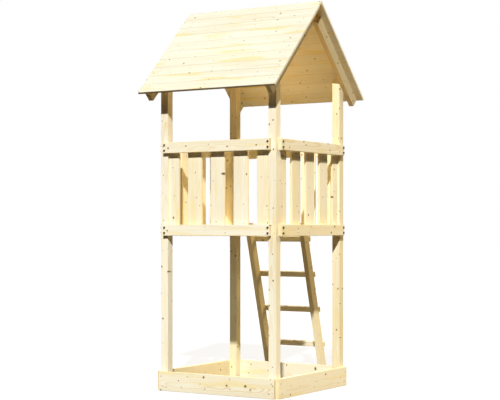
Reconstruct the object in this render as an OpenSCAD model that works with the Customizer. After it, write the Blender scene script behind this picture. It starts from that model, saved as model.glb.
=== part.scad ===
// Wooden garden climbing frame: four posts carry a sandbox frame at the ground,
// a railed deck with a ladder behind it, and an open gable roof of grooved boards.
// Millimetres, +Z up, front towards -Y, the ladder behind at +Y.
// The origin lies on the ground under the middle of the whole part.

/* [Tower] */
// Width over the posts
tower_w = 1014; // [900:1:1200]
// Depth over the posts
tower_d = 1014; // [900:1:1200]
// Side of the square posts
post_w = 64; // [56:1:80]
// Chamfer along the long edges of the planed timbers
arris = 2; // [0.5:0.5:3]
// Fitting gap beside a timber that stands between two others
joint_gap = 0.5; // [0.2:0.1:1.5]

/* [Sandbox] */
// Height of the sandbox boards
sand_h = 145; // [90:1:200]
// Thickness of the sandbox boards
sand_t = 28; // [18:1:40]

/* [Rails] */
// Height of every rail
rail_h = 82; // [70:1:110]
// Thickness of every rail
rail_t = 44; // [36:1:56]
// Depth by which a rail sits in between its posts
rail_seat = 16; // [8:1:20]
// Distance from the outside of a post to the end of the rail that laps it
rail_short = 38; // [20:1:44]
// Underside of the lower rails, which carry the deck
deck_z = 1165; // [900:1:1300]
// Rise from the lower rails to the upper rails
guard_rise = 618; // [560:1:700]

/* [Coach screws] */
// Shank diameter
screw_d = 8; // [6:0.5:10]
// Shank length under the washer
screw_l = 70; // [60:1:76]
// Distance from the end of a rail to the screws through it
screw_edge = 14; // [12:0.5:18]
// Height between the two screws at one end of a rail
screw_pitch = 40; // [28:1:46]
// Width of the hexagon head across its flats
head_af = 13; // [10:0.5:16]
// Height of the hexagon head
head_h = 6; // [4:0.5:8]
// Washer diameter
washer_d = 17; // [15:0.5:22]
// Washer thickness
washer_t = 1.6; // [1:0.1:3]
// Clearance round a shank and past its tip
bore_gap = 0.3; // [0.2:0.05:0.6]

/* [Fence slats] */
// Width of a slat away from the posts
slat_w = 123; // [90:1:130]
// Widest slat beside a post
wide_end_w = 106; // [80:1:115]
// Middling slat beside a post
mid_end_w = 92; // [70:1:105]
// Narrowest slat beside a post
narrow_end_w = 77; // [60:1:95]
// Thickness of the slats
slat_t = 19; // [15:1:26]
// How far the slats end below the top of the upper rails
slat_drop = 10; // [4:1:30]

/* [Deck] */
// Thickness of the deck boards
deck_t = 22; // [18:1:30]
// Open joint between two deck boards
deck_gap = 4; // [2:0.5:8]
// Side of the square bearers under the deck
bearer_w = 28; // [24:1:40]

/* [Roof] */
// Height of the ridge above the upper rails
ridge_rise = 1045; // [960:1:1200]
// Slope of the roof in degrees
roof_pitch = 45; // [40:1:48]
// Level distance from the posts out to an eave
eave_w = 169; // [120:1:240]
// Distance from the rafters out to the ends of the roof boards
verge_w = 54; // [20:1:120]
// Thickness of the roof boards
roof_t = 15; // [14:1:22]
// Width of the board next to the ridge
ridge_board_w = 84; // [60:1:110]
// Chamfer beside each seam between two roof boards
seam_c = 2; // [1:0.5:4]
// Length of the tongue on a roof board
tongue_l = 7; // [5:0.5:10]
// Thickness of the tongue on a roof board
tongue_t = 6; // [5:0.5:7]
// Clearance of the tongue in its groove
tongue_gap = 0.4; // [0.3:0.1:0.8]

/* [Rafters] */
// Depth of a rafter square to the roof
rafter_d = 78; // [60:1:100]
// Thickness of a rafter
rafter_t = 36; // [28:1:44]
// Distance down the slope from the ridge to the top end of a rafter
rafter_top = 120; // [100:1:180]
// Distance from the eave back to the lower end of a rafter
rafter_back = 8; // [4:1:40]
// Length of the level cut under the lower end of a rafter
tail_l = 5; // [3:1:40]

/* [Ladder] */
// Width over the two ladder sides
ladder_w = 540; // [480:1:560]
// How far the ladder stands off the middle of its entrance
ladder_off = 12; // [0:1:14]
// Lean of the ladder from upright in degrees
ladder_lean = 15.5; // [12:0.5:18]
// Thickness of a ladder side
side_t = 38; // [30:1:46]
// Depth of a ladder side from front to back
side_d = 70; // [56:1:85]
// Rise of the ladder's top above the lower rail it leans on
ladder_rise = 15; // [5:1:40]
// Height of a rung along the ladder
rung_h = 42; // [36:1:60]
// Thickness of a rung
rung_t = 28; // [20:1:35]
// Height of the underside of the lowest rung
rung_z = 250; // [200:1:300]
// Distance from the underside of the lower rails down to that of the highest rung
rung_drop = 54; // [48:1:80]

/* [Hidden] */
// Cutters run past the faces they leave by this much
overrun = 4;
// Roof boards on each slope, deck boards, rungs and slats away from the posts of one wall
roof_boards = 10;
deck_boards = 10;
rungs = 4;
mid_slats = 3;
// Slats of the back wall, which end at the entrance
back_slats = 2;

// The walls go round from the front towards +X, each turned by a quarter from the last
walls = ["front", "right", "back", "left"];
corners = ["front_left", "front_right", "back_right", "back_left"];
sides = ["left", "right"];
quarter = 90;

rail_proud = rail_t - rail_seat;
upper_z = deck_z + guard_rise;
ridge_h = upper_z + rail_h + ridge_rise;
deck_top = deck_z + bearer_w + deck_t;
slat_h = upper_z + rail_h - slat_drop - deck_top;
deck_half_w = tower_w / 2 - rail_seat;
deck_half_d = tower_d / 2 - rail_seat;
deck_board_w = (2 * deck_half_d - (deck_boards - 1) * deck_gap) / deck_boards;

roof_run = tower_d / 2 + eave_w;
roof_l = tower_w + 2 * (rafter_t + verge_w);
slope_l = roof_run / cos(roof_pitch);
cover_w = (slope_l - ridge_board_w) / (roof_boards - 1);
tongue_top = (roof_t - tongue_t) / 2;
post_h = ridge_h - roof_t / cos(roof_pitch) - tower_d / 2 * tan(roof_pitch) - joint_gap;
rafter_end = slope_l - rafter_back;

ladder_seat = tower_d / 2 + rail_proud;
ladder_top = deck_z + rail_h + ladder_rise;
side_level = side_d / cos(ladder_lean);
ladder_foot = ladder_y(0) + side_level;
rung_pitch = (deck_z - rung_drop - rung_z) / (rungs - 1);
tower_y = (roof_run - ladder_foot) / 2;

middle_widths = [for (i = [1 : mid_slats]) slat_w];
across_widths = concat([mid_end_w], middle_widths, [wide_end_w]);
along_widths = concat([wide_end_w], middle_widths, [narrow_end_w]);
entrance_x = (tower_w - 2 * post_w) / 2;
entrance_end = -slat_x(2, back_slats - 1) - slat_w;
ladder_x = (entrance_end - entrance_x) / 2 + ladder_off;

post_color = [0.88, 0.75, 0.53];
board_color = [0.91, 0.80, 0.60];
roof_color = [0.93, 0.84, 0.64];
deck_color = [0.84, 0.70, 0.48];
steel_color = [0.30, 0.29, 0.28];

// Width of a wall over its posts, its distance from the middle, and its clear width
function span(k) = k % 2 == 0 ? tower_w : tower_d;
function reach(k) = k % 2 == 0 ? tower_d / 2 : tower_w / 2;
function clear_w(k) = span(k) - 2 * post_w;
function rail_l(k) = span(k) - 2 * rail_short;
function screw_x(k) = rail_l(k) / 2 - screw_edge;
function wall_before(k) = (k + len(walls) - 1) % len(walls);

// Slats of one wall, counted from its left end as seen from outside
function widths(k) = k % 2 == 0 ? across_widths : along_widths;
function slat_count(k) = walls[k] == "back" ? back_slats : len(widths(k));
function sum_to(list, n) = n == 0 ? 0 : list[n - 1] + sum_to(list, n - 1);
function slat_gap(k) =
  (clear_w(k) - 2 * joint_gap - sum_to(widths(k), len(widths(k)))) / (len(widths(k)) - 1);
function slat_x(k, i) = joint_gap - clear_w(k) / 2 + sum_to(widths(k), i) + i * slat_gap(k);

// Place of the front face of the ladder sides at height z
function ladder_y(z) = ladder_seat + (deck_z - z) * tan(ladder_lean);

// Start of roof board i, measured down the slope from the ridge, and the joint below it
function board_u(i) = i == 0 ? 0 : ridge_board_w + (i - 1) * cover_w;
function seam_gap(i) = i == roof_boards - 1 ? 0 : tongue_gap;

// Section of a planed timber with chamfered edges
module planed(w, h) {
  polygon([
    [arris, 0], [w - arris, 0], [w, arris], [w, h - arris],
    [w - arris, h], [arris, h], [0, h - arris], [0, arris]
  ]);
}

// Section in the Y-Z plane, drawn out along X
module along_x(l) {
  rotate([90, 0, 90])
    linear_extrude(l, center = true)
      children();
}

// Frame of one wall: x along it, y inwards from the outside of the posts
module on_wall(k) {
  translate([0, tower_y, 0])
    rotate([0, 0, quarter * k])
      translate([0, -reach(k), 0])
        children();
}

// Frame of one roof slope, with Y running out from the ridge
module on_slope(front) {
  translate([0, tower_y, ridge_h])
    mirror([0, front ? 1 : 0, 0])
      children();
}

// Screw places of one wall, at one or both ends of its rails, z pointing inwards
module screw_places(k, ends) {
  for (e = ends)
    for (z = [deck_z, upper_z])
      for (s = [-1, 1])
        translate([e * screw_x(k), -rail_proud, z + rail_h / 2 + s * screw_pitch / 2])
          rotate([-quarter, 0, 0])
            children();
}

module screw_bore() {
  translate([0, 0, -overrun])
    cylinder(d = screw_d + 2 * bore_gap, h = screw_l + bore_gap + overrun, $fn = 32);
}

module post(c) {
  before = wall_before(c);
  color(post_color)
    difference() {
      on_wall(c)
        translate([-span(c) / 2, 0, 0])
          linear_extrude(post_h)
            planed(post_w, post_w);
      on_wall(c)
        screw_places(c, [-1])
          screw_bore();
      on_wall(before)
        screw_places(before, [1])
          screw_bore();
    }
}

module sand_board(k) {
  color(board_color)
    on_wall(k)
      translate([0, -sand_t, 0])
        along_x(span(k))
          planed(sand_t, sand_h);
}

// A rail laps the outsides of two posts and fills the space between them
module rail(k, z) {
  shoulder = clear_w(k) / 2 - joint_gap;
  color(post_color)
    on_wall(k)
      difference() {
        translate([0, -rail_proud, z])
          along_x(rail_l(k))
            planed(rail_t, rail_h);
        for (m = [0, 1])
          mirror([m, 0, 0])
            translate([shoulder, 0, z - overrun])
              cube([post_w, rail_seat + overrun, rail_h + 2 * overrun]);
        screw_places(k, [-1, 1])
          screw_bore();
      }
}

module slat(k, i) {
  color(board_color)
    on_wall(k)
      translate([slat_x(k, i), rail_seat, deck_top])
        linear_extrude(slat_h)
          planed(widths(k)[i], slat_t);
}

// The first and the last deck board are cut out round the posts
module deck_board(i) {
  notch = post_w - rail_seat + joint_gap;
  color(deck_color)
    translate([0, tower_y, deck_top - deck_t])
      difference() {
        translate([0, i * (deck_board_w + deck_gap) - deck_half_d, 0])
          along_x(2 * deck_half_w)
            planed(deck_board_w, deck_t);
        for (mx = [0, 1])
          for (my = [0, 1])
            mirror([mx, 0, 0])
              mirror([0, my, 0])
                translate([deck_half_w - notch, deck_half_d - notch, -overrun])
                  cube([notch + overrun, notch + overrun, deck_t + 2 * overrun]);
      }
}

// Bearers run from front to back, the outer two along the rails between the posts
module deck_bearer(x, l) {
  color(post_color)
    translate([x - bearer_w / 2, tower_y + l / 2, deck_z])
      rotate([quarter, 0, 0])
        linear_extrude(l)
          planed(bearer_w, bearer_w);
}

// A rafter bolts flat to the outsides of two posts, under the roof boards
module rafter(front, side) {
  low = -roof_t - rafter_d;
  color(post_color)
    on_slope(front)
      translate([side * (tower_w + rafter_t) / 2, 0, 0])
        along_x(rafter_t)
          rotate(-roof_pitch)
            polygon([
              [rafter_top, -roof_t],
              [rafter_top, low],
              [rafter_end - tail_l * cos(roof_pitch), low],
              [rafter_end, low + tail_l * sin(roof_pitch)],
              [rafter_end, -roof_t]
            ]);
}

// Edge of a roof board towards the ridge: a plumb cut at the ridge, else a tongue
function upper_edge(i, u) = i == 0
  ? [[roof_t * tan(roof_pitch), -roof_t], [0, 0]]
  : [
      [u, -roof_t],
      [u, -tongue_top - tongue_t],
      [u - tongue_l, -tongue_top - tongue_t],
      [u - tongue_l, -tongue_top],
      [u, -tongue_top],
      [u, -seam_c],
      [u + seam_c, 0]
    ];

// Edge of a roof board towards the eave: a square cut at the eave, else a groove
function lower_edge(i, u) = i == roof_boards - 1
  ? [[u, 0], [u, -roof_t]]
  : [
      [u - seam_c, 0],
      [u, -seam_c],
      [u, tongue_gap - tongue_top],
      [u - tongue_l - tongue_gap, tongue_gap - tongue_top],
      [u - tongue_l - tongue_gap, -tongue_top - tongue_t - tongue_gap],
      [u, -tongue_top - tongue_t - tongue_gap],
      [u, -roof_t]
    ];

module roof(front) {
  color(roof_color)
    on_slope(front)
      for (i = [0 : roof_boards - 1])
        along_x(roof_l)
          rotate(-roof_pitch)
            polygon(concat(upper_edge(i, board_u(i)), lower_edge(i, board_u(i + 1) - seam_gap(i))));
}

// A ladder side leans on the outside of the back lower rail with a plumb cut
module ladder_side(side) {
  color(post_color)
    translate([ladder_x + side * (ladder_w - side_t) / 2, tower_y, 0])
      along_x(side_t)
        polygon([
          [ladder_y(0), 0],
          [ladder_y(0) + side_level, 0],
          [ladder_y(ladder_top) + side_level, ladder_top],
          [ladder_seat, ladder_top],
          [ladder_seat, deck_z]
        ]);
}

module ladder_rung(i) {
  z = rung_z + i * rung_pitch;
  color(board_color)
    translate([ladder_x, tower_y + ladder_y(z) + side_level, z])
      along_x(ladder_w)
        rotate(ladder_lean)
          planed(rung_t, rung_h);
}

module coach_screws() {
  color(steel_color)
    for (k = [0 : len(walls) - 1])
      on_wall(k)
        screw_places(k, [-1, 1]) {
          cylinder(d = screw_d, h = screw_l, $fn = 32);
          translate([0, 0, -washer_t])
            cylinder(d = washer_d, h = washer_t, $fn = 32);
          translate([0, 0, -washer_t - head_h])
            cylinder(d = head_af / cos(quarter / 3), h = head_h, $fn = 6);
        }
}

for (c = [0 : len(corners) - 1])
  post(c);
for (k = [0 : len(walls) - 1])
  sand_board(k);
for (k = [0 : len(walls) - 1])
  rail(k, deck_z);
for (k = [0 : len(walls) - 1])
  rail(k, upper_z);
for (k = [0 : len(walls) - 1])
  for (i = [1 : slat_count(k)])
    slat(k, i - 1);
for (i = [1 : deck_boards])
  deck_board(i - 1);
for (s = [0, 1])
  deck_bearer((2 * s - 1) * (deck_half_w - bearer_w / 2), clear_w(1) - 2 * joint_gap);
deck_bearer(0, 2 * deck_half_d);  // deck_bearer_middle
rafter(true, -1);  // rafter_front_left
rafter(true, 1);  // rafter_front_right
rafter(false, 1);  // rafter_back_right
rafter(false, -1);  // rafter_back_left
roof(true);  // roof_front
roof(false);  // roof_back
for (s = [0, 1])
  ladder_side(2 * s - 1);
for (i = [1 : rungs])
  ladder_rung(i - 1);
coach_screws();
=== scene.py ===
import math
import random

import bmesh
import bpy
from mathutils import Euler, Matrix, Vector


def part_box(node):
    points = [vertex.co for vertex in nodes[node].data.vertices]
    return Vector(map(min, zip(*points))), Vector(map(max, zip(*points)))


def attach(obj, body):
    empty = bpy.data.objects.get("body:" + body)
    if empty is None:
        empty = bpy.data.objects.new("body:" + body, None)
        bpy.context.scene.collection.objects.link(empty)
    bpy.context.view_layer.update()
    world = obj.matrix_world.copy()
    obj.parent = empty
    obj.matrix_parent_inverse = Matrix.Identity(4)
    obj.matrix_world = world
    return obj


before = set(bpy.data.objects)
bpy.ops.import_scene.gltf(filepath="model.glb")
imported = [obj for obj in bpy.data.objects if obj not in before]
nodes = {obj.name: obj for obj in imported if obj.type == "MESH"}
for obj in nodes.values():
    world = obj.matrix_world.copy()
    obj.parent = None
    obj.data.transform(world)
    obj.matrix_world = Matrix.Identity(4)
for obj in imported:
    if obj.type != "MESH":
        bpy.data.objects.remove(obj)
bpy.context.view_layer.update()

# Sizes repeated from the part's source, in metres
ROOF_T = 0.015
RIDGE_BOARD_W = 0.084
RAFTER_D = 0.078
WASHER_T = 0.0016
HEAD_H = 0.006
PITCH = math.radians(45.0)
LEAN = math.radians(15.5)

# How many of each there are
ROOF_BOARDS = 10
DECK_BOARDS = 10
RUNGS = 4
SLATS = {"front": 5, "right": 5, "back": 2, "left": 5}

# Sizes and heights taken from the frame
post_low, post_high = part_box("post_front_right")
roof_low, roof_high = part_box("roof_front")
TOWER_HALF = post_high.x
POST_W = post_high.x - post_low.x
RAIL_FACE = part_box("upper_rail_right")[1].x
RAIL_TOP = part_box("upper_rail_front")[1].z
DECK_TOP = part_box("deck_board_1")[1].z
SANDBOX_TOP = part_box("sand_board_left")[1].z
RIDGE_H = roof_high.z
ROOF_HALF_L = roof_high.x
# The middle of the tower lies in front of the middle of the whole part
TOWER_Y = (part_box("post_front_left")[0].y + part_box("post_back_left")[1].y) / 2
ROOF_RUN = TOWER_Y - roof_low.y
SLOPE_L = ROOF_RUN / math.cos(PITCH)
COVER_W = (SLOPE_L - RIDGE_BOARD_W) / (ROOF_BOARDS - 1)

X = Vector((1, 0, 0))
Y = Vector((0, 1, 0))
Z = Vector((0, 0, 1))
DOWN_BACK = Vector((0, math.cos(PITCH), -math.sin(PITCH)))
DOWN_FRONT = Vector((0, -math.cos(PITCH), -math.sin(PITCH)))
UP_LADDER = Vector((0, -math.sin(LEAN), math.cos(LEAN)))
LADDER_BACK = UP_LADDER.cross(X)

CORNERS = ("front_left", "front_right", "back_right", "back_left")
# Each wall with the direction that it faces and the one that it runs along
WALLS = (("front", -Y, X), ("right", X, Y), ("back", Y, X), ("left", -X, Y))

chance = random.Random(41)


class Sheet:
    """Short words for laying out a node tree."""

    def __init__(self, tree):
        self.tree = tree

    def node(self, kind, **settings):
        made = self.tree.nodes.new(kind)
        for key, value in settings.items():
            setattr(made, key, value)
        return made

    def put(self, socket, value):
        if isinstance(value, bpy.types.NodeSocket):
            self.tree.links.new(value, socket)
        else:
            socket.default_value = value

    def fill(self, made, *values):
        for socket, value in zip(made.inputs, values):
            self.put(socket, value)
        return made.outputs[0]

    def fill_named(self, made, **values):
        for name, value in values.items():
            self.put(made.inputs[name], value)
        return made.outputs

    def math(self, operation, *values):
        return self.fill(self.node("ShaderNodeMath", operation=operation), *values)

    def add(self, a, b):
        return self.math("ADD", a, b)

    def sub(self, a, b):
        return self.math("SUBTRACT", a, b)

    def mul(self, a, b):
        return self.math("MULTIPLY", a, b)

    def div(self, a, b):
        return self.math("DIVIDE", a, b)

    def length(self, a, b):
        return self.math("SQRT", self.add(self.mul(a, a), self.mul(b, b)))

    def step(self, value, low, high, start=0.0, end=1.0):
        made = self.node("ShaderNodeMapRange", interpolation_type="SMOOTHSTEP")
        return self.fill(made, value, low, high, start, end)

    def split(self, vector):
        made = self.node("ShaderNodeSeparateXYZ")
        self.put(made.inputs[0], vector)
        return made.outputs

    def join(self, x, y, z):
        return self.fill(self.node("ShaderNodeCombineXYZ"), x, y, z)

    def stretch(self, place, cells):
        return self.join(*[self.mul(way, count) for way, count in zip(place, cells)])

    def noise(self, vector, scale=1.0, detail=2.0, rough=0.5):
        made = self.node("ShaderNodeTexNoise")
        return self.fill_named(made, Vector=vector, Scale=scale, Detail=detail, Roughness=rough)["Fac"]

    def dice(self, vector):
        made = self.node("ShaderNodeTexWhiteNoise", noise_dimensions="3D")
        self.put(made.inputs["Vector"], vector)
        return made.outputs["Value"], self.split(made.outputs["Color"])

    def mix(self, share, a, b, blend="MIX"):
        made = self.node("ShaderNodeMix", data_type="RGBA", blend_type=blend)
        return self.fill_named(made, Factor=share, A=a, B=b)["Result"]

    def tinge(self, share, body, colour):
        return self.mix(share, body, self.mix(1.0, body, colour, blend="MULTIPLY"))

    def bump(self, height, strength, distance):
        made = self.node("ShaderNodeBump")
        return self.fill_named(made, Height=height, Strength=strength, Distance=distance)["Normal"]

    def spot(self):
        return self.node("ShaderNodeTexCoord").outputs["Object"]

    def shader(self, kind, **values):
        return self.fill_named(self.node(kind), **values)[0]

    def blend(self, share, first, second):
        return self.fill(self.node("ShaderNodeMixShader"), share, first, second)

    def seen(self):
        """One for rays from the camera, a gloss or a glass, and nothing for those that light the part."""
        path = self.node("ShaderNodeLightPath").outputs
        direct = self.math("MAXIMUM", path["Is Camera Ray"], path["Is Glossy Ray"])
        return self.math("MAXIMUM", direct, path["Is Transmission Ray"])


def tint(r, g, b):
    return (r, g, b, 1.0)


WHITE = tint(1.0, 1.0, 1.0)
SPRUCE_PALE = tint(0.945, 0.880, 0.685)
SPRUCE_LATE = tint(0.830, 0.660, 0.355)
SPRUCE_STREAK = tint(0.915, 0.765, 0.455)
SPRUCE_FLAME = tint(0.940, 0.772, 0.375)
KNOT_HALO = tint(0.700, 0.530, 0.240)
KNOT_HEART = tint(0.220, 0.145, 0.055)
KNOT_RIM = tint(0.095, 0.063, 0.026)
END_SHADE = tint(0.920, 0.850, 0.740)
EDGE_SHADE = tint(0.860, 0.770, 0.620)
# Painted shade on the lower rails' upward ledges
LEDGE_PAINTED_SHADE = tint(0.580, 0.520, 0.420)
# A paler, cooler tint on the roof's upper side
UPPER_SIDE_TINT = tint(0.960, 1.010, 1.080)
# Painted shade on the eave's lower edge
EAVE_PAINTED_SHADE = tint(0.380, 0.350, 0.280)
HEAD_DARK = tint(0.040, 0.027, 0.007)
HEAD_RUB = tint(0.080, 0.057, 0.022)
WASHER_ZINC = tint(0.450, 0.370, 0.220)
WASHER_DULL = tint(0.300, 0.240, 0.130)
SCREW_DULL = tint(0.300, 0.260, 0.190)
SCREW_ZINC = tint(0.480, 0.430, 0.330)
FLOOR_UNSEEN = tint(0.030, 0.022, 0.015)
ROOM_FILL = tint(1.000, 0.950, 0.860)

# Growth of a trunk, in metres: width of a ring, how far its heart wanders, and how it tapers
RING_W = 0.0036
HEART_DRIFT = 0.045
HEART_SWAY = 0.020
TRUNK_TAPER = 0.004
# How many rings wide they vary, in how many cells to a metre outward and upward, and how they bend at knots
RING_VARIES = 2.6
RING_CELLS = (60.0, 0.15)
RING_BEND = 0.9
# Branches: their pitch up and round the trunk and their girth, in metres
WHORL_PITCH = 0.19
KNOT_PITCH = 0.052
KNOT_LEAST = 0.0023
KNOT_GAIN = 0.0044
# How many of them grow, how few are thick, how far they stray, how long and tapered they are, and a seed
KNOT_SHARE = 0.66
KNOT_SKEW = 2.6
KNOT_STRAY_ALONG = 0.66
KNOT_STRAY_ROUND = 0.60
KNOT_SQUASH = 0.82
BRANCH_TAPER = 0.12
TRUNK_SEED = 0.37
# Cells of the noises in a metre along, across and through a timber
DRIFT_CELLS = (1.3, 2.0, 2.0)
SWAY_CELLS = (1.7, 2.0, 2.0)
STREAK_CELLS = (0.9, 34.0, 34.0)
FLAME_CELLS = 2.0
CLOUD_CELLS = (0.7, 5.0, 5.0)
FIBRE_CELLS = (11.0, 420.0, 420.0)
# Ramps: from and to which value, and what they give there. Knots are measured in their own girth
HEART_RAMP = (0.80, 1.00, 1.0, 0.0)
RIM_RISE = (0.45, 0.85, 0.0, 1.0)
RIM_FALL = (0.95, 1.15, 1.0, 0.0)
HALO_RAMP = (0.90, 2.30, 1.0, 0.0)
BULGE_RAMP = (0.00, 4.00, 1.0, 0.0)
LATE_RISE = (0.35, 0.90, 0.0, 1.0)
LATE_FALL = (0.93, 1.00, 1.0, 0.0)
STREAK_RAMP = (0.52, 0.74, 0.0, 0.50)
FLAME_RAMP = (0.55, 0.68, 0.0, 1.0)
TONE_RAMP = (0.10, 1.00, 0.0, 0.38)
CLOUD_SHADE = (0.25, 0.75, 1.03, 0.96)
FIBRE_SHADE = (0.25, 0.75, 0.955, 1.035)
FIBRE_ROUGH = (0.20, 0.80, 0.56, 0.70)
END_RAMP = (0.75, 0.95, 0.0, 1.0)
LEDGE_RAMP = (0.80, 0.95, 0.0, 1.0)
THIN_RAMP = (1.90, 2.20, 0.0, 0.50)
EDGE_RAMP = (0.0004, 0.0010, 1.0, 0.0)
ARRIS_RAMP = (0.0000, 0.0055, 0.50, 0.0)
RUB_RAMP = (0.30, 0.70, 0.50, 1.0)
# How deep the late wood is, where clouds of the wood run from low to high
RING_CLOUDS = (0.30, 0.72)
RING_FAINT = 0.14
RING_BOLD = 0.74
FIGURE_GAIN = 0.11
# Shares of a knot's halo and rim, what late wood and knots take off the roughness, and the relief
HALO_SHARE = 0.40
RIM_SHARE = 0.70
LATE_GLOSS = 0.06
KNOT_GLOSS = 0.12
LATE_RELIEF = 0.45
FIBRE_RELIEF = 0.55
KNOT_RELIEF = 0.90
WOOD_BUMP = 0.35
WOOD_BUMP_H = 0.0006
WOOD_SHEEN = 0.15

SPRUCE_TAKES = {
    "Place": "Vector",
    "Pith": "Vector",
    "Half": "Vector",
    "Grain": "Vector",
    "Tone": "Float",
    "Flame": "Float",
    "Narrow": "Float",
    "Figure": "Float",
    "Knots": "Float",
    # Painted shade: how light the timber is drawn
    "Light": "Float",
    # Painted warm shade, as a tint set per timber
    "Stain": "Color",
    "Ends": "Float",
    # Painted shade on upward ledges
    "Dust": "Float",
}
SPRUCE_GIVES = {"Colour": "Color", "Roughness": "Float", "Normal": "Vector"}


def trunk_place(s, given, along, b, c):
    """How far from the trunk's heart and at which angle. It wanders, so the rings bend on a face."""
    _, pith_b, pith_c = s.split(given["Pith"])
    drift = s.sub(s.noise(s.stretch((along, b, c), DRIFT_CELLS)), 0.5)
    sway = s.sub(s.noise(s.stretch((along, c, b), SWAY_CELLS)), 0.5)
    across = s.add(s.sub(b, pith_b), s.mul(drift, HEART_DRIFT))
    deep = s.add(s.sub(c, pith_c), s.mul(sway, s.mul(given["Figure"], HEART_SWAY)))
    return s.length(across, deep), s.math("ARCTAN2", across, deep)


def branch_knots(s, given, along, radius, angle):
    """Branches leave the heart in whorls, and each shows as a knot where the face cuts it."""
    run, _, pith_c = s.split(given["Pith"])
    face_radius = s.sub(s.split(given["Half"])[2], pith_c)
    row = s.div(along, WHORL_PITCH)
    turn = s.div(s.mul(angle, face_radius), KNOT_PITCH)
    row_no = s.math("FLOOR", row)
    turn_no = s.math("FLOOR", turn)
    luck, (luck_a, luck_b, luck_c) = s.dice(s.join(row_no, turn_no, s.mul(run, TRUNK_SEED)))

    def off_place(value, number, chosen, stray):
        return s.sub(s.sub(value, s.add(number, 0.5)), s.mul(s.sub(chosen, 0.5), stray))

    off_a = s.mul(off_place(row, row_no, luck_a, KNOT_STRAY_ALONG), WHORL_PITCH * KNOT_SQUASH)
    knot_w = s.mul(s.div(radius, face_radius), KNOT_PITCH)
    off_b = s.mul(off_place(turn, turn_no, luck_b, KNOT_STRAY_ROUND), knot_w)
    girth = s.add(s.mul(s.math("POWER", luck_c, KNOT_SKEW), KNOT_GAIN), KNOT_LEAST)
    girth = s.math("MINIMUM", s.mul(girth, given["Knots"]), s.mul(radius, BRANCH_TAPER))
    grown = s.math("LESS_THAN", luck, KNOT_SHARE)
    reach = s.div(s.length(off_a, off_b), girth)
    heart = s.mul(s.step(reach, *HEART_RAMP), grown)
    rim = s.mul(s.mul(s.step(reach, *RIM_RISE), s.step(reach, *RIM_FALL)), grown)
    halo = s.mul(s.step(reach, *HALO_RAMP), grown)
    bulge = s.mul(s.mul(s.step(reach, *BULGE_RAMP), girth), grown)
    return heart, rim, halo, bulge


def late_wood(s, along, radius, bulge):
    """Growth rings, wider and narrower by turns, flow round the knots."""
    grown = s.add(s.add(radius, s.mul(bulge, RING_BEND)), s.mul(along, TRUNK_TAPER))
    outward, upward = RING_CELLS
    slow = s.noise(s.join(s.mul(grown, outward), s.mul(along, upward), 0.0), detail=1.0)
    phase = s.math("FRACT", s.add(s.div(grown, RING_W), s.mul(slow, RING_VARIES)))
    return s.mul(s.step(phase, *LATE_RISE), s.step(phase, *LATE_FALL))


def clear_wood(s, given, along, b, c, late, streak, fibre):
    """Pale wood with its late rings, streaks and golden flames, a little cloudy, with a painted shade and
    tint multiplied in.
    """
    narrow = given["Narrow"]
    flame_place = s.join(s.mul(along, FLAME_CELLS), s.mul(b, narrow), s.mul(c, narrow))
    flame = s.noise(flame_place, detail=2.0)
    cloud = s.noise(s.stretch((along, b, c), CLOUD_CELLS), detail=1.0)
    bold = s.add(s.mul(s.sub(given["Figure"], 1.0), FIGURE_GAIN), RING_BOLD)
    depth = s.step(cloud, *RING_CLOUDS, RING_FAINT, bold)
    body = s.mix(s.mul(late, depth), SPRUCE_PALE, SPRUCE_LATE)
    body = s.mix(s.step(streak, *STREAK_RAMP), body, SPRUCE_STREAK)
    body = s.mix(s.mul(s.step(flame, *FLAME_RAMP), given["Flame"]), body, SPRUCE_FLAME)
    # The golden tone is partly the timber's own and, on timbers that show mostly in shade, painted warm
    # shade
    body = s.mix(s.step(given["Tone"], *TONE_RAMP), body, SPRUCE_FLAME)
    shade = s.mul(s.step(cloud, *CLOUD_SHADE), s.step(fibre, *FIBRE_SHADE))
    # Painted shade: the timber's set lightness, standing in for how light falls on it
    shade = s.mul(shade, given["Light"])
    body = s.mix(1.0, body, s.join(shade, shade, shade), blend="MULTIPLY")
    # Painted warm shade: the timber's set tint
    return s.mix(1.0, body, given["Stain"], blend="MULTIPLY")


def worn_wood(s, given, b, c, streak, body):
    """Sawn ends and a board's narrow edges are duller, ledges are painted darker as shade, which cuts the
    light they bounce up, and arrises are rubbed.
    """
    normal = s.node("ShaderNodeTexCoord").outputs["Normal"]
    facing = s.node("ShaderNodeVectorMath", operation="DOT_PRODUCT")
    s.put(facing.inputs[0], normal)
    s.put(facing.inputs[1], given["Grain"])
    end = s.step(s.math("ABSOLUTE", facing.outputs["Value"]), *END_RAMP)
    body = s.tinge(s.mul(end, given["Ends"]), body, END_SHADE)
    # Painted shade on upward ledges, where it also cuts the light bounced on to the slats
    ledge = s.step(s.split(normal)[2], *LEDGE_RAMP)
    body = s.tinge(s.mul(ledge, given["Dust"]), body, LEDGE_PAINTED_SHADE)
    _, half_b, half_c = s.split(given["Half"])
    gap_b = s.sub(half_b, s.math("ABSOLUTE", b))
    gap_c = s.sub(half_c, s.math("ABSOLUTE", c))
    thin = s.step(s.div(half_b, half_c), *THIN_RAMP)
    body = s.tinge(s.mul(s.step(gap_b, *EDGE_RAMP), thin), body, EDGE_SHADE)
    arris = s.step(s.math("MAXIMUM", gap_b, gap_c), *ARRIS_RAMP)
    return s.tinge(s.mul(arris, s.step(streak, *RUB_RAMP)), body, EDGE_SHADE)


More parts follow.
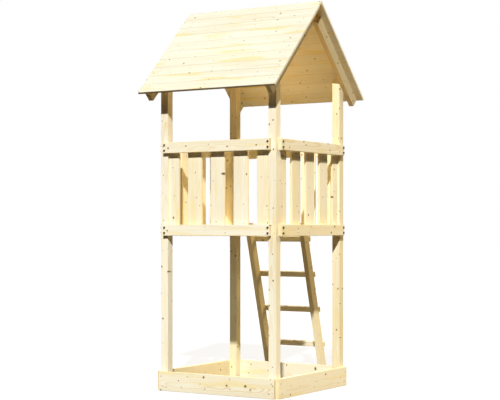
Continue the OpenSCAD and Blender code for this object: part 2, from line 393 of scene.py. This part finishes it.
def spruce_group():
    """Planed spruce in a timber's own frame: x along the grain, y across, z through it."""
    tree = bpy.data.node_groups.new("planed_spruce", "ShaderNodeTree")
    for way, sockets in (("INPUT", SPRUCE_TAKES), ("OUTPUT", SPRUCE_GIVES)):
        for name, kind in sockets.items():
            tree.interface.new_socket(name=name, in_out=way, socket_type="NodeSocket" + kind)
    s = Sheet(tree)
    given = s.node("NodeGroupInput").outputs
    a, b, c = s.split(given["Place"])
    along = s.add(a, s.split(given["Pith"])[0])
    radius, angle = trunk_place(s, given, along, b, c)
    heart, rim, halo, bulge = branch_knots(s, given, along, radius, angle)
    late = late_wood(s, along, radius, bulge)
    streak = s.noise(s.stretch((along, b, c), STREAK_CELLS), detail=3.0, rough=0.6)
    fibre = s.noise(s.stretch((along, b, c), FIBRE_CELLS), detail=2.0, rough=0.65)

    body = clear_wood(s, given, along, b, c, late, streak, fibre)
    body = s.mix(s.mul(halo, HALO_SHARE), body, KNOT_HALO)
    body = s.mix(heart, body, KNOT_HEART)
    body = s.mix(s.mul(rim, RIM_SHARE), body, KNOT_RIM)
    body = worn_wood(s, given, b, c, streak, body)
    rough = s.sub(s.step(fibre, *FIBRE_ROUGH), s.mul(late, LATE_GLOSS))
    rough = s.sub(rough, s.mul(heart, KNOT_GLOSS))
    height = s.add(s.mul(late, LATE_RELIEF), s.mul(fibre, FIBRE_RELIEF))
    height = s.add(height, s.mul(heart, KNOT_RELIEF))

    out = s.node("NodeGroupOutput")
    s.fill_named(out, Colour=body, Roughness=rough, Normal=s.bump(height, WOOD_BUMP, WOOD_BUMP_H))
    return tree


SPRUCE = spruce_group()


def new_material(name):
    made = bpy.data.materials.new(name)
    made.use_nodes = True
    return made, Sheet(made.node_tree), made.node_tree.nodes["Principled BSDF"]


def dress(node, material):
    slots = nodes[node].data.materials
    slots.clear()
    slots.append(material)


def frame_of(node, along, across):
    """Turn of a timber's own frame, its middle and its half sizes in that frame."""
    turn = Matrix((along, across, along.cross(across)))
    spots = [turn @ v.co for v in nodes[node].data.vertices]
    low = Vector([min(p[i] for p in spots) for i in range(3)])
    high = Vector([max(p[i] for p in spots) for i in range(3)])
    return turn, (low + high) / 2, (high - low) / 2


def own_place(s, turn, origin):
    """Place in a timber's own frame, measured from an origin given in that frame."""
    made = s.node("ShaderNodeMapping", vector_type="POINT")
    s.fill_named(made, Vector=s.spot(), Location=-origin, Rotation=turn.to_euler("XYZ"))
    return made.outputs["Vector"]


def spruce(s, **values):
    """The spruce group with its inputs set."""
    return s.fill_named(s.node("ShaderNodeGroup", node_tree=SPRUCE), **values)


def finish_spruce(s, shader, wood, colour):
    s.put(shader.inputs["Base Color"], colour)
    s.put(shader.inputs["Roughness"], wood["Roughness"])
    s.put(shader.inputs["Normal"], wood["Normal"])
    shader.inputs["Specular IOR Level"].default_value = WOOD_SHEEN


# How yellow some of the timbers are, from pale 0 to golden 1. On the left slats, the ladder sides and the
# back right rafter, which show mostly in shade, the deeper gold is painted warm shade
TONE_AND_SHADE_OF = {
    "post_front_left": 0.15,
    "post_front_right": 0.35,
    "post_back_right": 0.95,
    "post_back_left": 0.95,
    "slat_front_1": 0.15,
    "slat_front_2": 0.65,
    "slat_front_3": 0.20,
    "slat_front_4": 0.15,
    "slat_front_5": 0.70,
    "slat_right_2": 0.65,
    "slat_right_3": 0.30,
    "slat_right_4": 0.40,
    "upper_rail_front": 0.45,
    "upper_rail_right": 0.35,
    "lower_rail_front": 0.05,
    "lower_rail_right": 0.80,
    "sand_board_front": 0.25,
    "sand_board_right": 0.55,
    "sand_board_left": 0.90,
    "sand_board_back": 0.20,
    "slat_left_1": 0.90,
    "slat_left_2": 0.85,
    "slat_left_3": 0.90,
    "slat_left_4": 0.80,
    "slat_left_5": 0.90,
    "ladder_side_left": 0.85,
    "ladder_side_right": 1.0,
    "rafter_back_right": 1.0,
}

# Painted shade: how much lighter or darker some of the timbers are drawn beside the rest, standing in for
# how light falls on them
PAINTED_SHADE_OF = {
    "post_back_right": 0.93,
    "post_back_left": 0.94,
    "ladder_side_left": 0.96,
    "ladder_side_right": 0.95,
    "rafter_front_left": 0.72,
    "rafter_front_right": 0.72,
    "rafter_back_right": 0.80,
    "rafter_back_left": 0.86,
    "sand_board_left": 0.92,
}

# Painted warm shade, as a tint on some of the timbers
SHADE_TINT_OF = {
    "rafter_back_right": tint(0.945, 0.865, 0.720),
    "sand_board_left": tint(1.000, 0.950, 0.860),
}

# How boldly the rings of some boards arch and stand out
FIGURE_OF = {
    "sand_board_front": 3.2,
    "sand_board_back": 2.0,
    "lower_rail_front": 0.0,
    "slat_left_2": 2.0,
    "slat_back_1": 2.0,
}

# How far up the trunk and how far aside of its heart some timbers are sawn, picked for their figure
SAWN_AT = {
    "sand_board_front": (26.2, 0.1),
    "lower_rail_front": (35.5, 0.4),
    "upper_rail_front": (21.4, 0.4),
}

# How big the knots are and how much the ledges are painted darker as shade, to cut the light they bounce on
# to the slats, by the first word of a timber's name
KNOTS_IN = {"sand": 1.2, "post": 0.88}
LEDGE_SHADE_ON = {"lower": 0.85}
# How big the knots are in the other timbers
OTHER_KNOTS = 1.1

# Where else timbers are sawn: up the trunk, aside of the heart in half widths, and under the face
UP_TRUNK = (2.0, 60.0)
ASIDE = 0.7
HEART_DEPTH = (0.030, 0.110)

# Flames: how strong they are, and how many to a metre across
FLAME = 0.60
FLAMES_ACROSS = 30.0

# The roof's own flames, knots, painted shade (darker all over, so that its brightly lit upper side stays
# off white) and tone, where its boards lie in a trunk, and their seeds
ROOF_FLAME = 0.90
ROOF_FLAMES_ACROSS = 14.0
ROOF_KNOTS = 0.95
ROOF_PAINTED_SHADE = 0.80
ROOF_TONE = 0.20
ROOF_TRUNK_L = 50.0
ROOF_ASIDE = 0.06
ROOF_SEED = 3.0
ROOF_SEEDS = (1.0, 9.0)

# Depths from the roof's face and its lower edge between which the paler upper tint and the eave's painted
# shade come in, in metres
UPPER_TINT_DEPTHS = (0.0015, 0.0005)
EAVE_SHADE_DEPTHS = (0.004, 0.001)
EAVE_SHADE_SHARE = 0.85


def spruce_timber(node, along, across):
    """Planed spruce for one timber, sawn from its own place in its own trunk."""
    if chance.random() < 0.5:
        across = -across
    turn, middle, half = frame_of(node, along, across)
    drawn_place = (chance.uniform(*UP_TRUNK), chance.uniform(-ASIDE, ASIDE))
    depth = chance.uniform(*HEART_DEPTH)
    drawn_tone = chance.random()
    up, aside = SAWN_AT.get(node, drawn_place)
    kind = node.split("_")[0]
    made, s, shader = new_material("spruce_" + node)
    wood = spruce(
        s,
        Place=own_place(s, turn, middle),
        Pith=(up, aside * half.y, -half.z - depth),
        Half=half,
        Grain=along,
        Tone=TONE_AND_SHADE_OF.get(node, drawn_tone),
        Flame=FLAME,
        Narrow=FLAMES_ACROSS,
        Figure=FIGURE_OF.get(node, 1.0),
        Knots=KNOTS_IN.get(kind, OTHER_KNOTS),
        Light=PAINTED_SHADE_OF.get(node, 1.0),
        Stain=SHADE_TINT_OF.get(node, WHITE),
        Ends=1.0,
        Dust=LEDGE_SHADE_ON.get(kind, 0.0),
    )
    finish_spruce(s, shader, wood, wood["Colour"])
    dress(node, made)


def spruce_roof(node, down):
    """Each roof board of a slope is a timber of its own."""
    through_way = X.cross(down)
    turn = Matrix((X, down, through_way))
    made, s, shader = new_material("spruce_" + node)
    a, u, w = s.split(own_place(s, turn, turn @ Vector((0, TOWER_Y, RIDGE_H))))
    board = s.math("FLOOR", s.div(s.sub(u, RIDGE_BOARD_W), COVER_W))
    board = s.math("MAXIMUM", board, -1.0)
    middle = s.add(s.mul(s.add(board, 0.5), COVER_W), RIDGE_BOARD_W)
    through = s.add(w, math.copysign(ROOF_T / 2, through_way.z))
    luck, (luck_a, luck_b, luck_c) = s.dice(s.join(board, ROOF_SEED, chance.uniform(*ROOF_SEEDS)))
    least_depth, most_depth = HEART_DEPTH
    pith = s.join(
        s.add(s.mul(luck_a, ROOF_TRUNK_L), UP_TRUNK[0]),
        s.mul(s.sub(luck_b, 0.5), ROOF_ASIDE),
        s.sub(-ROOF_T / 2 - least_depth, s.mul(luck_c, most_depth - least_depth)),
    )
    wood = spruce(
        s,
        Place=s.join(a, s.sub(u, middle), through),
        Pith=pith,
        Half=(ROOF_HALF_L, COVER_W / 2, ROOF_T / 2),
        Grain=X,
        Tone=s.mul(luck, ROOF_TONE),
        Flame=ROOF_FLAME,
        Narrow=ROOF_FLAMES_ACROSS,
        Figure=0.0,
        Knots=ROOF_KNOTS,
        Light=ROOF_PAINTED_SHADE,
        Stain=WHITE,
        Ends=0.0,
        Dust=0.0,
    )
    # The upper side is tinted paler and cooler, and the lower edge of the lowest board is painted dark as
    # shade
    above = s.mul(through, math.copysign(1.0, through_way.z))
    upper_tint = s.step(above, *[ROOF_T / 2 - depth for depth in UPPER_TINT_DEPTHS])
    eave_shade = s.step(u, *[SLOPE_L - depth for depth in EAVE_SHADE_DEPTHS], 0.0, EAVE_SHADE_SHARE)
    colour = s.tinge(upper_tint, wood["Colour"], UPPER_SIDE_TINT)
    finish_spruce(s, shader, wood, s.tinge(eave_shade, colour, EAVE_PAINTED_SHADE))
    dress(node, made)


# Blotches and scratches of screw metal, to a metre
BLOTCH_CELLS = 160.0
SCRATCH_CELLS = 900.0
SCRATCH_BUMP = 0.2
SCRATCH_BUMP_H = 0.0003
BLOTCH_RAMP = (0.35, 0.70)
WASHER_RAMP = (0.30, 0.75)
WORN_RAMP = (0.45, 0.60)
SCRATCH_RAMP = (0.20, 0.80)
# How far a coach screw's foot and its rubbed rim fade, how high and how bare the rim is, and the sheen
HEAD_FADE = 0.0002
RIM_FADE = 0.0010
RIM_H = 0.0012
RIM_BARE = 0.3
COACH_SHEEN = 0.05


def screw_metal(name, smooth, coarse, metallic):
    """Metal with fine scratches, and the blotches that its colour follows."""
    made, s, shader = new_material(name)
    spot = s.spot()
    blotch = s.noise(spot, scale=BLOTCH_CELLS, detail=3.0)
    scratch = s.noise(spot, scale=SCRATCH_CELLS, detail=2.0)
    s.put(shader.inputs["Roughness"], s.step(scratch, *SCRATCH_RAMP, smooth, coarse))
    s.put(shader.inputs["Normal"], s.bump(scratch, SCRATCH_BUMP, SCRATCH_BUMP_H))
    shader.inputs["Metallic"].default_value = metallic
    return made, s, shader, spot, blotch


def small_screw_zinc():
    made, s, shader, _, blotch = screw_metal("small_screw_zinc", smooth=0.38, coarse=0.58, metallic=0.85)
    s.put(shader.inputs["Base Color"], s.mix(s.step(blotch, *BLOTCH_RAMP), SCREW_DULL, SCREW_ZINC))
    return made


def coach_screw_steel():
    """Dark hexagon heads on dull washers, told apart by how far they stand off the rails."""
    metal = screw_metal("coach_screw_steel", smooth=0.50, coarse=0.72, metallic=0.10)
    made, s, shader, spot, blotch = metal
    x, y, _ = s.split(spot)
    stand = s.math("MAXIMUM", s.math("ABSOLUTE", x), s.math("ABSOLUTE", s.sub(y, TOWER_Y)))
    head_foot = RAIL_FACE + WASHER_T
    head = s.step(s.sub(stand, head_foot), 0.0, HEAD_FADE)
    # The head's rim is rubbed in places on its last millimetre
    rim = s.step(s.sub(stand, head_foot + HEAD_H - RIM_H), 0.0, RIM_FADE)
    worn = s.mul(rim, s.step(blotch, *WORN_RAMP))
    dark = s.mix(s.step(blotch, *BLOTCH_RAMP), HEAD_DARK, HEAD_RUB)
    dark = s.mix(s.mul(worn, RIM_BARE), dark, WASHER_ZINC)
    washer = s.mix(s.step(blotch, *WASHER_RAMP), WASHER_ZINC, WASHER_DULL)
    s.put(shader.inputs["Base Color"], s.mix(head, washer, dark))
    shader.inputs["Specular IOR Level"].default_value = COACH_SHEEN
    return made


for corner in CORNERS:
    spruce_timber("post_" + corner, Z, X)
for kind in ("sand_board_", "lower_rail_", "upper_rail_"):
    for wall in ("front", "back"):
        spruce_timber(kind + wall, X, Z)
    for wall in ("right", "left"):
        spruce_timber(kind + wall, Y, Z)
for wall, _, run in WALLS:
    for i in range(SLATS[wall]):
        spruce_timber(f"slat_{wall}_{i + 1}", Z, run)
for i in range(DECK_BOARDS):
    spruce_timber(f"deck_board_{i + 1}", X, Y)
for side in ("left", "right", "middle"):
    spruce_timber("deck_bearer_" + side, Y, X)
for corner in CORNERS:
    down = DOWN_FRONT if corner.startswith("front") else DOWN_BACK
    spruce_timber("rafter_" + corner, down, down.cross(X))
spruce_roof("roof_front", DOWN_FRONT)
spruce_roof("roof_back", DOWN_BACK)
for side in ("left", "right"):
    spruce_timber("ladder_side_" + side, UP_LADDER, LADDER_BACK)
for i in range(RUNGS):
    spruce_timber(f"ladder_rung_{i + 1}", X, UP_LADDER)
dress("coach_screws", coach_screw_steel())
SMALL_ZINC = small_screw_zinc()


def show(name, data):
    made = bpy.data.objects.new(name, data)
    bpy.context.scene.collection.objects.link(made)
    return made


# A small head: its sides, how high its rim stands, and then how far in and up each inset goes, in its width
HEAD_SIDES = 12
HEAD_RIM = 0.10
HEAD_INSETS = ((0.10, 0.03), (0.16, 0.0), (0.04, -0.12))
# How deep the heads sit in the wood, in metres
SINK = 0.0003


def screw_heads(name, places, width):
    """Small countersunk heads with a drive recess, each at a point on a face and facing out."""
    bm = bmesh.new()
    for point, out in places:
        made_before = len(bm.verts)
        rim = bmesh.ops.create_circle(bm, cap_ends=True, segments=HEAD_SIDES, radius=width / 2)["verts"]
        lifted = bmesh.ops.extrude_face_region(bm, geom=[rim[0].link_faces[0]])["geom"]
        top = next(part for part in lifted if isinstance(part, bmesh.types.BMFace))
        bmesh.ops.translate(bm, vec=Z * width * HEAD_RIM, verts=top.verts[:])
        for inward, upward in HEAD_INSETS:
            bmesh.ops.inset_individual(bm, faces=[top], thickness=width * inward, depth=width * upward)
        turn = out.to_track_quat("Z", "Y").to_matrix().to_4x4()
        bmesh.ops.transform(bm, matrix=Matrix.Translation(point) @ turn, verts=bm.verts[made_before:])
    bmesh.ops.recalc_face_normals(bm, faces=bm.faces[:])
    mesh = bpy.data.meshes.new(name)
    bm.to_mesh(mesh)
    bm.free()
    made = show(name, mesh)
    mesh.materials.append(SMALL_ZINC)
    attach(made, "root")


def middle_of(node):
    low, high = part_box(node)
    return (low + high) / 2


def face_middle(node, out):
    """Middle of a timber's face on the side given, sunk as deep as a head sits."""
    low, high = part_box(node)
    thickness = (high - low).dot(Vector([abs(v) for v in out]))
    return (low + high) / 2 + out * (thickness / 2 - SINK)


# Where the small screws and nails sit, in metres, or as a share of a board's width
BOARD_SCREW_W = 0.0095
SANDBOX_SCREW_SPOTS = ((-0.036, -0.008), (0.036, 0.010))
RAFTER_SCREW_SPOTS = ((-0.020, 0.018), (0.020, -0.018))
SLAT_SCREW_W = 0.008
SLAT_FOOT = 0.016
SLAT_HEAD = 0.036
SLAT_SHARES = (-0.28, 0.28)
DECK_SCREW_W = 0.008
DECK_SHARES = (0.24, 0.76)
POST_CLEAR = 0.006
NAIL_W = 0.006
NAIL_SHARES = (0.25, 0.75)
RIDGE_CLEAR = 0.13
RUNG_SCREW_W = 0.008
RUNG_SHIFTS = (-0.010, 0.010)
RUNG_JOG = 0.8


def board_screw_places():
    """Sandbox boards and rafters are screwed to the posts."""
    places = []
    for wall, out, run in WALLS:
        face = face_middle("sand_board_" + wall, out)
        for end in (-1, 1):
            for level, jog in SANDBOX_SCREW_SPOTS:
                places.append((face + run * end * (TOWER_HALF - POST_W / 2 + jog) + Z * level, out))
    for corner in CORNERS:
        low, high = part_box("rafter_" + corner)
        post = middle_of("post_" + corner)
        out = X if corner.endswith("right") else -X
        down = DOWN_FRONT if corner.startswith("front") else DOWN_BACK
        roof_z = RIDGE_H - abs(post.y - TOWER_Y) * math.tan(PITCH)
        rafter_z = roof_z - (ROOF_T + RAFTER_D / 2) / math.cos(PITCH)
        spot = Vector((high.x if out.x > 0 else low.x, post.y, rafter_z)) - out * SINK
        for shift, rise in RAFTER_SCREW_SPOTS:
            places.append((spot + down * shift + down.cross(X).normalized() * rise, out))
    return places


def slat_screw_places():
    """Slats are screwed to both rails from inside."""
    places = []
    for wall, out, run in WALLS:
        for i in range(SLATS[wall]):
            slat = f"slat_{wall}_{i + 1}"
            low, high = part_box(slat)
            for level in (low.z + SLAT_FOOT, high.z - SLAT_HEAD):
                for share in SLAT_SHARES:
                    spot = face_middle(slat, -out) + run * (high - low).dot(run) * share
                    spot.z = level
                    places.append((spot, -out))
    return places


def deck_screw_places():
    """Deck boards are screwed down to the bearers, two to each, but not where the posts stand."""
    places = []
    for i in range(DECK_BOARDS):
        low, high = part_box(f"deck_board_{i + 1}")
        for side in ("left", "middle", "right"):
            x = middle_of("deck_bearer_" + side).x
            for share in DECK_SHARES:
                y = low.y + (high.y - low.y) * share
                by_post = abs(y - TOWER_Y) > TOWER_HALF - POST_W - POST_CLEAR
                if side == "middle" or not by_post:
                    places.append((Vector((x, y, high.z - SINK)), Z))
    return places


def roof_nail_places():
    """Roof boards are nailed to the rafters."""
    places = []
    for down in (DOWN_FRONT, DOWN_BACK):
        out = Vector((0, math.copysign(math.sin(PITCH), down.y), math.cos(PITCH)))
        for i in range(ROOF_BOARDS):
            start = 0.0 if i == 0 else RIDGE_BOARD_W + (i - 1) * COVER_W
            stop = RIDGE_BOARD_W + i * COVER_W
            for share in NAIL_SHARES:
                u = start + (stop - start) * share
                if u < RIDGE_CLEAR:
                    continue
                for corner in ("front_left", "front_right"):
                    ridge = Vector((middle_of("rafter_" + corner).x, TOWER_Y, RIDGE_H))
                    places.append((ridge + down * u - out * SINK, out))
    return places


def rung_screw_places():
    """Rungs are screwed to the ladder sides from behind."""
    places = []
    for i in range(RUNGS):
        spots = [v.co for v in nodes[f"ladder_rung_{i + 1}"].data.vertices]
        outer = max(p.dot(LADDER_BACK) for p in spots)
        lift = [p.dot(UP_LADDER) for p in spots]
        level = (min(lift) + max(lift)) / 2
        for side in ("left", "right"):
            x = middle_of("ladder_side_" + side).x
            for shift in RUNG_SHIFTS:
                spot = LADDER_BACK * (outer - SINK) + UP_LADDER * (level + shift)
                places.append((Vector((x + shift * RUNG_JOG, spot.y, spot.z)), LADDER_BACK))
    return places


screw_heads("board_screws", board_screw_places(), BOARD_SCREW_W)
screw_heads("slat_screws", slat_screw_places(), SLAT_SCREW_W)
screw_heads("deck_screws", deck_screw_places(), DECK_SCREW_W)
screw_heads("roof_nails", roof_nail_places(), NAIL_W)
screw_heads("rung_screws", rung_screw_places(), RUNG_SCREW_W)

# Half the floor's width in metres, how much of its white is its own, and the strength of the room's fill
FLOOR_HALF = 60.0
FLOOR_OWN_WHITE = 0.82
FILL_STRENGTH = 0.015


def pale_floor():
    """Floor that shows white, keeps the tower's shadow and sends little light back."""
    made = bpy.data.materials.new("pale_floor")
    made.use_nodes = True
    made.node_tree.nodes.clear()
    s = Sheet(made.node_tree)
    unseen = s.shader("ShaderNodeBsdfDiffuse", Color=FLOOR_UNSEEN)
    shaded = s.shader("ShaderNodeBsdfDiffuse", Color=WHITE)
    white = s.shader("ShaderNodeEmission", Color=WHITE)
    shown = s.blend(FLOOR_OWN_WHITE, shaded, white)
    s.put(s.node("ShaderNodeOutputMaterial").inputs["Surface"], s.blend(s.seen(), unseen, shown))
    return made


def studio_room():
    """Plain room: white behind the part, a low even fill on it."""
    made = bpy.data.worlds.new("studio")
    made.use_nodes = True
    made.node_tree.nodes.clear()
    s = Sheet(made.node_tree)
    fill = s.shader("ShaderNodeBackground", Color=ROOM_FILL, Strength=FILL_STRENGTH)
    back = s.shader("ShaderNodeBackground", Color=WHITE, Strength=1.0)
    s.put(s.node("ShaderNodeOutputWorld").inputs["Surface"], s.blend(s.seen(), fill, back))
    return made


floor_mesh = bpy.data.meshes.new("floor")
bm = bmesh.new()
bmesh.ops.create_grid(bm, x_segments=1, y_segments=1, size=FLOOR_HALF)
bm.to_mesh(floor_mesh)
bm.free()
floor_mesh.materials.append(pale_floor())
floor = show("floor", floor_mesh)
# The floor's bounce light shines up through it
floor.visible_shadow = False
bpy.context.scene.world = studio_room()

# Colours of the lamps: plain, a little warm, golden, and as ground and wood send light on
PLAIN_LIGHT = (1.0, 1.0, 1.0)
BACK_LIGHT = (1.0, 0.97, 0.92)
LEFT_LIGHT = (1.0, 0.96, 0.90)
GOLD_LIGHT = (1.0, 0.76, 0.37)
GROUND_LIGHT = (1.0, 0.68, 0.30)
WOOD_LIGHT = (1.0, 0.67, 0.29)
PALE_LIGHT = (1.0, 0.92, 0.75)
POST_LIGHT = (1.0, 0.97, 0.80)


def sun(name, towards, strength, spread, colour):
    """Even light from far away, from the way given, with its spread in degrees."""
    lamp = bpy.data.lights.new(name, "SUN")
    lamp.energy = strength
    lamp.angle = math.radians(spread)
    lamp.color = colour
    show(name, lamp).rotation_euler = Vector(towards).to_track_quat("Z", "Y").to_euler()


def bounce(name, place, towards, size, energy, colour):
    """Light that sunlit wood and ground send on to their neighbours."""
    lamp = bpy.data.lights.new(name, "AREA")
    lamp.shape = "RECTANGLE"
    lamp.size, lamp.size_y = size
    lamp.energy = energy
    lamp.color = colour
    made = show(name, lamp)
    made.location = place
    made.rotation_euler = (-towards).to_track_quat("Z", "Y").to_euler()
    made.visible_camera = False


sun("key_light", towards=(0.578, -1.0, 0.9), strength=4.57, spread=1.6, colour=PLAIN_LIGHT)
sun("back_fill", towards=(-0.55, 1.0, 0.55), strength=1.40, spread=40.0, colour=BACK_LIGHT)
sun("side_fill", towards=(1.0, 1.2, 1.557), strength=2.00, spread=22.0, colour=GOLD_LIGHT)
sun("left_fill", towards=(-1.0, 0.3, 0.3), strength=1.30, spread=40.0, colour=LEFT_LIGHT)
sun("floor_bounce", towards=(0.30, 0.0, -0.80), strength=0.50, spread=30.0, colour=GROUND_LIGHT)
bounce("roof_bounce", place=(-0.05, TOWER_Y + 0.05, RAIL_TOP + 0.15), towards=Z,
       size=(0.40, 0.40), energy=2.1, colour=WOOD_LIGHT)
bounce("wall_bounce", place=(-0.15, TOWER_Y - 0.30, DECK_TOP + 0.30), towards=-X,
       size=(0.30, 0.30), energy=0.11, colour=WOOD_LIGHT)
bounce("sandbox_bounce", place=(-0.25, TOWER_Y, SANDBOX_TOP + 0.01), towards=Z,
       size=(0.30, 0.30), energy=0.40, colour=PALE_LIGHT)
bounce("post_bounce", place=(-0.34, TOWER_Y + 0.05, 0.62), towards=-X,
       size=(0.30, 0.72), energy=0.95, colour=POST_LIGHT)

# The camera looks level from the right of the tower's front, at the photograph's angle
CAMERA_RIGHT = 5.456
CAMERA_BEFORE = 8.705
CAMERA_H = 1.235
CAMERA_TURN = 32.23

camera_data = bpy.data.cameras.new("camera")
camera_data.sensor_width = 36.0
camera_data.lens = 96.53
camera_data.shift_y = 0.0527
camera_data.clip_end = 200.0
camera = show("camera", camera_data)
camera.location = (CAMERA_RIGHT, TOWER_Y - CAMERA_BEFORE, CAMERA_H)
camera.rotation_euler = Euler((math.radians(90.0), 0.0, math.radians(CAMERA_TURN)))
bpy.context.scene.camera = camera
bpy.context.scene.view_settings.view_transform = "Standard"
